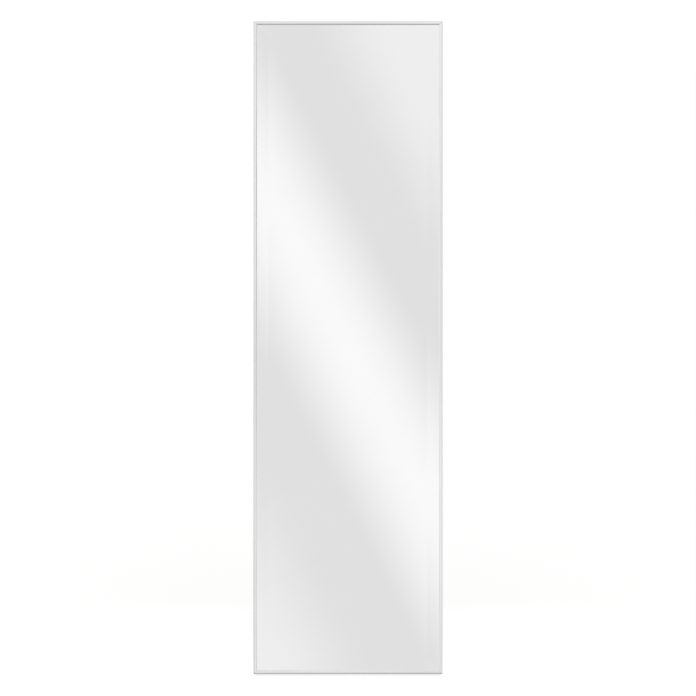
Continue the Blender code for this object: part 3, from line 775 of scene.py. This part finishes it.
def bolt_mesh(length):
    """A button-head bolt with a hexagon socket, on z.

    The head's underside is at z = 0 and the shank runs up +z. The thread is turned as rings.
    """
    socket, pitch, thread_length = 0.0020, 0.0010, 0.011
    rim, soft = 0.0006, 0.0002
    dome = [
        (BOLT_HEAD_RADIUS * math.sin(a), -rim - (BOLT_HEAD_HEIGHT - rim) * math.cos(a))
        for a in [math.radians(d) for d in range(0, 91, 10)]
    ]
    dome[0] = (0.0, dome[0][1])
    profile = [*dome, (BOLT_HEAD_RADIUS, -soft), (BOLT_HEAD_RADIUS - soft, 0.0), (BOLT_RADIUS, 0.0)]
    threaded = length - thread_length
    profile.append((BOLT_RADIUS, threaded))
    turns = int((length - threaded) / pitch)
    for i in range(turns):
        start = threaded + i * pitch
        profile.append((BOLT_RADIUS - 0.0005, start + pitch * 0.5))
        profile.append((BOLT_RADIUS - 0.00002, start + pitch * 0.94))
    profile += [(BOLT_RADIUS - 0.0006, length), (0.0, length)]
    mesh = turned("pivot_bolt", profile, 40)
    socket_profile = [(0.0, 0.002), (socket, 0.002), (socket, -0.001), (0.0, -0.0022)]
    socket_mesh = turned("socket", socket_profile, 6)
    return cut(mesh, (socket_mesh, at(0.0, 0.0, -BOLT_HEAD_HEIGHT + 0.0008)))


def bore_mesh(low, high):
    """A cutter on z for a hole that the pivot bolt runs through."""
    radius = BOLT_RADIUS + BOLT_PLAY
    return turned("bore", [(0.0, high), (radius, high), (radius, low), (0.0, low)], 40)


def nut_mesh(height):
    """A hexagon lock nut, chamfered at its corners, with the ring that holds its nylon insert."""
    corner, hexagon_height = 0.0058, height * 0.68
    body = extruded("lock_nut", [circle(corner, 6)], hexagon_height)
    body.transform(at(0.0, 0.0, hexagon_height / 2))
    flat = corner * math.cos(math.pi / 6)
    cone = [
        (0.0, hexagon_height + 0.001),
        (flat * 0.80, hexagon_height + 0.001),
        (corner * 1.02, hexagon_height - 0.0009),
        (corner * 1.02, 0.0009),
        (flat * 0.96, -0.00001),
        (0.0, -0.00001),
    ]
    body = cut(body, (turned("cone", cone, 60), Matrix.Identity(4)), operation="INTERSECT")
    collar = [
        (0.0, height),
        (BOLT_RADIUS + 0.0009, height),
        (BOLT_RADIUS + 0.0015, height - 0.0005),
        (flat * 0.86, hexagon_height - 0.0006),
        (0.0, hexagon_height - 0.0006),
    ]
    body = cut(body, (turned("collar", collar, 60), Matrix.Identity(4)), operation="UNION")
    return cut(body, (bore_mesh(-0.001, height + 0.001), Matrix.Identity(4)))


def build_pivots():
    for side, to_x in SIDES.items():
        inwards = Matrix.Rotation(-to_x * math.pi / 2, 4, "Y")
        low, high = span(f"pivot_bolt_{side}", PANEL)
        outer_end, inner_end = (low.x, high.x) if to_x < 0 else (high.x, low.x)
        head_under = outer_end - to_x * BOLT_HEAD_HEIGHT
        bolt = bolt_mesh(abs(inner_end - head_under))
        local = at(head_under, PIVOT_BACK, PIVOT_UP) @ inwards
        replaced = [f"pivot_bolt_{side}"]
        piece(f"bolt_{side}", bolt, "zinc_steel", PANEL, local, "panel", replaced, sharp=30.0)
        rings = (("pivot_spacer", "nylon", 0.0003), ("pivot_washer", "zinc_steel", 0.00015))
        for node, look, soft in rings:
            low, high = span(f"{node}_{side}", PANEL)
            outer = (high.z - low.z) / 2
            profile = ring_profile(BOLT_RADIUS + GAP, outer, high.x - low.x, soft)
            mesh = turned(f"{node}_{side}", profile, 48)
            local = at((low.x + high.x) / 2, PIVOT_BACK, PIVOT_UP) @ inwards
            piece(f"{node}_ring_{side}", mesh, look, PANEL, local, "panel", [f"{node}_{side}"])
        low, high = span(f"pivot_nut_{side}", PANEL)
        outer_face = low.x if to_x < 0 else high.x
        local = at(outer_face, PIVOT_BACK, PIVOT_UP) @ inwards
        nut = nut_mesh(high.x - low.x)
        replaced = [f"pivot_nut_{side}"]
        piece(f"lock_nut_{side}", nut, "zinc_steel", PANEL, local, "panel", replaced, sharp=25.0)


# --- Stand ------------------------------------------------------------------------------------
def build_stand_tube():
    """A round tube bent into a U. Rings of points follow its centre line, outside and inside."""
    low, high = span("stand_tube", STAND)
    arm = high.x - TUBE_RADIUS
    top = high.z
    bottom = low.z + TUBE_RADIUS
    bend_x = arm - BEND_RADIUS
    bend_z = bottom + BEND_RADIUS
    straight = [(-arm, top - (top - bend_z) * i / 12) for i in range(12)]
    left = arc((-bend_x, bend_z), BEND_RADIUS, math.pi, 3 * math.pi / 2, 19)
    cross = [(-bend_x + 2 * bend_x * i / 8, bottom) for i in range(1, 8)]
    first = straight + left
    path = first + cross + [(-x, z) for x, z in reversed(first)]
    sides = 48
    work = bmesh.new()
    shells = []
    for radius in (TUBE_RADIUS, TUBE_RADIUS - TUBE_WALL):
        shell = []
        for i, (x, z) in enumerate(path):
            before = Vector(path[max(i - 1, 0)])
            after = Vector(path[min(i + 1, len(path) - 1)])
            along = (after - before).normalized()
            across = Vector((-along.y, along.x))
            ring = []
            for a in angles_round(sides):
                u = radius * math.cos(a)
                y = radius * math.sin(a)
                ring.append(work.verts.new((x + across.x * u, y, z + across.y * u)))
            shell.append(ring)
        shells.append(shell)
    for shell in shells:
        for one, two in zip(shell, shell[1:]):
            for i in range(sides):
                j = (i + 1) % sides
                work.faces.new((one[i], one[j], two[j], two[i]))
    for end in (0, -1):
        for i in range(sides):
            j = (i + 1) % sides
            outer, inner = shells[0][end], shells[1][end]
            work.faces.new((outer[i], outer[j], inner[j], inner[i]))
    bmesh.ops.recalc_face_normals(work, faces=work.faces)
    mesh = bpy.data.meshes.new("bent_tube")
    work.to_mesh(mesh)
    work.free()
    bore = bore_mesh(-1.5 * TUBE_RADIUS, 1.5 * TUBE_RADIUS)
    sideways = Matrix.Rotation(math.pi / 2, 4, "Y")
    drilled = cut(mesh, *[(bore, at(x * arm, 0.0, 0.0) @ sideways) for x in (-1, 1)])
    place = Matrix.Identity(4)
    piece("bent_tube", drilled, "coated_steel", STAND, place, "stand", ["stand_tube"])


def build_end_caps():
    """Crowned caps, each with a finned plug down the tube."""
    for side in SIDES:
        low, high = span(f"stand_end_cap_{side}", STAND)
        plug = TUBE_RADIUS - TUBE_WALL - GAP
        rim = 0.0020
        crown = [(0.0, high.z), (TUBE_RADIUS - 0.0030, high.z - 0.00003)]
        crown += [
            (TUBE_RADIUS - 0.0010 + 0.0010 * math.sin(a), high.z - 0.0011 + 0.0010 * math.cos(a))
            for a in [math.radians(d) for d in range(0, 91, 15)]
        ]
        profile = [*crown, (TUBE_RADIUS, high.z - rim), (plug, high.z - rim)]
        for i in range(3):
            fin = high.z - rim - 0.0012 - 0.0018 * i
            profile += [(plug - 0.0008, fin), (plug, fin - 0.0004), (plug - 0.0008, fin - 0.0008)]
        profile += [(plug - 0.0010, low.z), (0.0, low.z)]
        mesh = turned(f"tube_cap_{side}", profile, 48)
        local = at((low.x + high.x) / 2, 0.0, 0.0)
        piece(f"tube_cap_{side}", mesh, "rubber", STAND, local, "stand", [f"stand_end_cap_{side}"])


def build_glides():
    """Saddles that clip on to the tube, with two grooves across the sole."""
    wall, sole_down, sole_half, mouth = 0.0028, 0.0115, 0.0120, math.radians(125.0)
    down = -math.pi / 2
    inner = TUBE_RADIUS + GAP
    outer = inner + wall
    sole_angle = math.acos(sole_down / math.hypot(sole_down, sole_half))
    right = arc((0.0, 0.0), outer, down + sole_angle, down + mouth, 20)
    left = [(-u, v) for u, v in reversed(right)]
    bore = arc((0.0, 0.0), inner, down - mouth, down + mouth, 49)
    sole = [(-sole_half, -sole_down)]
    for middle in (-0.004, 0.004):
        sole += [(middle - 0.001, -sole_down), (middle - 0.0006, -sole_down + 0.0006)]
        sole += [(middle + 0.0006, -sole_down + 0.0006), (middle + 0.001, -sole_down)]
    sole.append((sole_half, -sole_down))
    outline = [*sole, *right, *reversed(bore), *left]
    level = Matrix.Rotation(LEAN - SPREAD, 4, "X")
    for side in SIDES:
        low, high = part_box(f"stand_glide_{side}")
        mesh = extruded(f"glide_{side}", [outline], high.x - low.x)
        mesh.transform(DRAWN_IN_YZ)
        centre = Vector(((low.x + high.x) / 2, (low.y + high.y) / 2, low.z + sole_down))
        local = Matrix.Translation(STAND.inverted() @ centre) @ level
        name, replaced = f"glide_{side}", [f"stand_glide_{side}"]
        piece(name, mesh, "rubber", STAND, local, "stand", replaced, edge=0.0005)


# --- CAD nodes that show as they are, or stay hidden inside -----------------------------------
def dress_nodes():
    slots = {s["node"]: s["material_slot"] for s in frame["record"]["subparts"]}
    for name, obj in NODES.items():
        if not obj.material_slots:
            obj.data.materials.append(None)
        for material_slot in obj.material_slots:
            material_slot.material = LOOKS[slots[name]]


# --- Studio -----------------------------------------------------------------------------------
FOCAL_LENGTH = 100.0
SENSOR = 36.0
VIEW_WIDTH = 1.4924
AIM_DOWN = 0.0010
AIM_RIGHT = 0.00008
ROOM_LEVEL = 0.78
SKY_LEVEL = 0.80
BACKDROP_LEVEL = 1.01
FLOOR_ALBEDO = 0.60
FLOOR_GLOW = BACKDROP_LEVEL - FLOOR_ALBEDO * SKY_LEVEL
CONTACT_GLOW = 0.14  # lifts the shadow next to the frame's foot
CONTACT_REACH = (0.9, 0.3)  # from the origin, where that starts and where it is full
CONTACT_BEHIND = (0.45, -0.05)  # the same along y


def build_camera():
    """Square on to the glass, far enough back that the frame's sides don't show."""
    data = bpy.data.cameras.new("camera")
    data.lens = FOCAL_LENGTH
    data.sensor_width = SENSOR
    data.clip_start = 0.05
    data.clip_end = 100.0
    camera = bpy.data.objects.new("camera", data)
    bpy.context.scene.collection.objects.link(camera)
    distance = VIEW_WIDTH * FOCAL_LENGTH / SENSOR
    target = PANEL @ Vector((AIM_RIGHT, -DEPTH, HEIGHT / 2 - AIM_DOWN))
    towards = TO_PANEL @ Vector((0.0, -1.0, 0.0))
    camera.location = target + towards * distance
    camera.rotation_euler = (math.pi / 2 - LEAN, 0.0, 0.0)
    bpy.context.scene.camera = camera


def build_floor():
    """A wide white floor that melts into the backdrop. Reflections see the room instead."""
    work = bmesh.new()
    bmesh.ops.create_grid(work, x_segments=8, y_segments=8, size=40.0)
    mesh = bpy.data.meshes.new("studio_floor")
    work.to_mesh(mesh)
    work.free()
    n = Nodes("studio_floor")
    n.set(colour=(FLOOR_ALBEDO, FLOOR_ALBEDO, FLOOR_ALBEDO), roughness=0.9, metallic=0.0)
    n.shader.inputs["Specular IOR Level"].default_value = 0.0
    n.shader.inputs["Emission Color"].default_value = (1.0, 1.0, 1.0, 1.0)
    parts = n.add("ShaderNodeSeparateXYZ", {"Vector": n.coordinates}).outputs
    reach = n.add("ShaderNodeVectorMath", {0: n.coordinates}, operation="LENGTH").outputs["Value"]
    close = n.spread(reach, *CONTACT_REACH, 0.0, CONTACT_GLOW, "SMOOTHSTEP")
    forward = n.spread(parts["Y"], *CONTACT_BEHIND, 0.0, 1.0, "SMOOTHSTEP")
    near_panel = n.math("MULTIPLY", close, forward)
    n.put(n.math("ADD", near_panel, FLOOR_GLOW), n.shader.inputs["Emission Strength"])
    mesh.materials.append(n.material)
    floor = bpy.data.objects.new("studio_floor", mesh)
    bpy.context.scene.collection.objects.link(floor)
    floor.visible_glossy = False
    return floor


CARD_DISTANCE = 0.60
CARD_HALF = (0.75, 1.25)
CARD_FADE = 0.35
BAND_SLOPE = math.radians(27.25)
BAND_HALF = 0.165
BAND_SHIFT = 0.0015
BAND_FALL = 1.5
RIGHT_WING = (0.222, 0.392)  # across the band, where the grey starts to turn pale and is pale
LEFT_WING = (-0.240, -0.455)
GREY, PEAK, PALE = 0.779, 0.990, 0.893
LOUVRES = (0.18, 0.36)  # the slant at which they start to close the view and have closed it


def build_card():
    """A card that only reflections see: one soft bright diagonal band on pale grey."""
    camera_distance = VIEW_WIDTH * FOCAL_LENGTH / SENSOR
    reach = 1.0 + CARD_DISTANCE / camera_distance
    work = bmesh.new()
    bmesh.ops.create_grid(work, x_segments=2, y_segments=2, size=1.0)
    mesh = bpy.data.meshes.new("reflector_card")
    work.to_mesh(mesh)
    work.free()
    mesh.transform(Matrix.Diagonal((CARD_HALF[0], CARD_HALF[1], 1.0, 1.0)))
    mesh.transform(DRAWN_IN_XZ)
    n = Nodes("reflector_card")
    parts = n.add("ShaderNodeSeparateXYZ", {"Vector": n.coordinates}).outputs
    # Distance across the band, in the size that it has on the glass.
    along_x = n.math("MULTIPLY", parts["X"], math.cos(BAND_SLOPE) / reach)
    along_z = n.math("MULTIPLY", parts["Z"], math.sin(BAND_SLOPE) / reach)
    signed = n.math("ADD", n.math("ADD", along_x, along_z), BAND_SHIFT)
    nearest = n.math("MINIMUM", n.math("ABSOLUTE", signed), BAND_HALF)
    phase = n.math("MULTIPLY", nearest, math.pi / 2 / BAND_HALF)
    band = n.math("POWER", n.math("COSINE", phase), BAND_FALL)
    right = n.spread(signed, *RIGHT_WING, 0.0, PALE - GREY, "SMOOTHSTEP")
    left = n.spread(signed, *LEFT_WING, 0.0, PALE - GREY, "SMOOTHSTEP")
    ground = n.math("ADD", n.math("ADD", right, left), GREY)
    level = n.math("ADD", n.math("MULTIPLY", band, PEAK - GREY), ground)
    fades = []
    for axis, half in (("X", CARD_HALF[0]), ("Z", CARD_HALF[1])):
        from_edge = n.math("SUBTRACT", half, n.math("ABSOLUTE", parts[axis]))
        fades.append(n.spread(from_edge, 0.0, CARD_FADE, 0.0, 1.0, "SMOOTHSTEP"))
    glow = n.add("ShaderNodeEmission", {"Strength": level})
    clear = n.add("ShaderNodeBsdfTransparent")
    # The card is louvred, so metal that faces it at a slant sees past it.
    facing = n.add("ShaderNodeLayerWeight", {"Blend": 0.5}).outputs["Facing"]
    louvres = n.spread(facing, *LOUVRES, 1.0, 0.0, "SMOOTHSTEP")
    opaque = n.math("MULTIPLY", n.math("MULTIPLY", *fades), louvres)
    mix = n.add("ShaderNodeMixShader", {0: opaque, 1: clear.outputs[0], 2: glow.outputs[0]})
    n.tree.links.new(mix.outputs[0], n.tree.nodes["Material Output"].inputs["Surface"])
    n.tree.nodes.remove(n.shader)
    mesh.materials.append(n.material)
    card = bpy.data.objects.new("reflector_card", mesh)
    bpy.context.scene.collection.objects.link(card)
    card.matrix_world = PANEL @ at(0.0, -DEPTH - CARD_DISTANCE, HEIGHT / 2)
    card.visible_camera = False
    card.visible_diffuse = False
    card.visible_shadow = False
    card.visible_transmission = False


# Along one axis of a unit direction: where a change of level starts, where it ends, and how much.
ROOM_FRONT = (-0.78, -0.97, 0.24)
ROOM_BEHIND = (0.10, 0.90, -0.25)
ROOM_FLOOR = (-0.40, -0.80, -0.42)
ROOM_CEILING = (0.45, 0.85, 0.06)
ROOM_LEFT = (-0.72, -0.90, 0.13)
RIGHT_PATCH = ((0.08, 0.12), (0.15, 0.20), 0.60)
LOW_LEFT_PATCH = (0.04, -0.05, 0.30)


def build_world():
    """A white backdrop and soft light all round. Reflections see a graded room.

    The room is brightest in front, overhead and far to the left. It is darker towards the floor,
    behind, in one patch on the right and low on the near left.
    """
    world = bpy.data.worlds.new("studio")
    world.use_nodes = True
    bpy.context.scene.world = world
    nodes, links = world.node_tree.nodes, world.node_tree.links
    nodes.clear()
    coordinates = nodes.new("ShaderNodeTexCoord")
    parts = nodes.new("ShaderNodeSeparateXYZ")
    links.new(coordinates.outputs["Generated"], parts.inputs[0])

    def ease(axis, start, end, amount):
        node = nodes.new("ShaderNodeMapRange")
        node.interpolation_type = "SMOOTHSTEP"
        node.inputs["From Min"].default_value = start
        node.inputs["From Max"].default_value = end
        node.inputs["To Min"].default_value = 0.0
        node.inputs["To Max"].default_value = amount
        links.new(parts.outputs[axis], node.inputs["Value"])
        return node.outputs["Result"]

    def combine(operation, a, b):
        node = nodes.new("ShaderNodeMath")
        node.operation = operation
        links.new(a, node.inputs[0])
        links.new(b, node.inputs[1])
        return node.outputs[0]

    def band(axis, rise, fall, amount):
        return combine("ADD", ease(axis, *rise, amount), ease(axis, *fall, -amount))

    front = ease("Y", *ROOM_FRONT)
    behind = ease("Y", *ROOM_BEHIND)
    floor = ease("Z", *ROOM_FLOOR)
    ceiling = ease("Z", *ROOM_CEILING)
    right = combine("MULTIPLY", ease("X", 0.72, 0.90, -1.0), band("Z", *RIGHT_PATCH))
    left = ease("X", *ROOM_LEFT)
    level = combine("ADD", combine("ADD", front, behind), combine("ADD", floor, ceiling))
    low_side = band("X", (-0.40, -0.60), (-0.76, -0.88), -1.0)
    low_left = combine("MULTIPLY", low_side, ease("Z", *LOW_LEFT_PATCH))
    level = combine("ADD", combine("ADD", level, left), combine("ADD", right, low_left))
    base = nodes.new("ShaderNodeMath")
    base.inputs[1].default_value = ROOM_LEVEL
    links.new(level, base.inputs[0])

    def background(strength):
        node = nodes.new("ShaderNodeBackground")
        node.inputs["Color"].default_value = (1.0, 1.0, 1.0, 1.0)
        if isinstance(strength, bpy.types.NodeSocket):
            links.new(strength, node.inputs["Strength"])
        else:
            node.inputs["Strength"].default_value = strength
        return node.outputs[0]

    def choose(factor, a, b):
        node = nodes.new("ShaderNodeMixShader")
        for value, socket in zip((factor, a, b), node.inputs):
            links.new(value, socket)
        return node.outputs[0]

    path = nodes.new("ShaderNodeLightPath").outputs
    lit = choose(path["Is Glossy Ray"], background(SKY_LEVEL), background(base.outputs[0]))
    shown = choose(path["Is Camera Ray"], lit, background(BACKDROP_LEVEL))
    links.new(shown, nodes.new("ShaderNodeOutputWorld").inputs["Surface"])


def softbox(name, location, target, size, power, lit):
    data = bpy.data.lights.new(name, "AREA")
    data.shape = "RECTANGLE"
    data.size, data.size_y = size
    data.energy = power
    light = bpy.data.objects.new(name, data)
    bpy.context.scene.collection.objects.link(light)
    light.location = location
    aim = Vector(target) - Vector(location)
    light.rotation_euler = aim.to_track_quat("-Z", "Y").to_euler()
    light.visible_camera = False
    light.light_linking.receiver_collection = lit


def build_lights(floor):
    """Two softboxes behind shape the back and give the metal highlights. They spare the floor."""
    lit = bpy.data.collections.new("lit_by_softboxes")
    lit.objects.link(floor)
    lit.collection_objects[0].light_linking.link_state = "EXCLUDE"
    middle = (0.0, 0.0, 0.6)
    softbox("rear_key", (2.4, 2.2, 2.6), middle, size=(1.2, 1.6), power=38.0, lit=lit)
    softbox("rear_fill", (-2.6, 1.8, 1.4), middle, size=(1.0, 2.0), power=10.0, lit=lit)


# --- Assembly ---------------------------------------------------------------------------------
build_camera()
build_world()
build_lights(build_floor())
build_card()
build_frame()
build_pane()
build_board()
build_screws()
build_hangers()
build_feet()
build_brackets()
build_pivots()
build_stand_tube()
build_end_caps()
build_glides()
dress_nodes()
bpy.context.scene.view_settings.view_transform = "Standard"
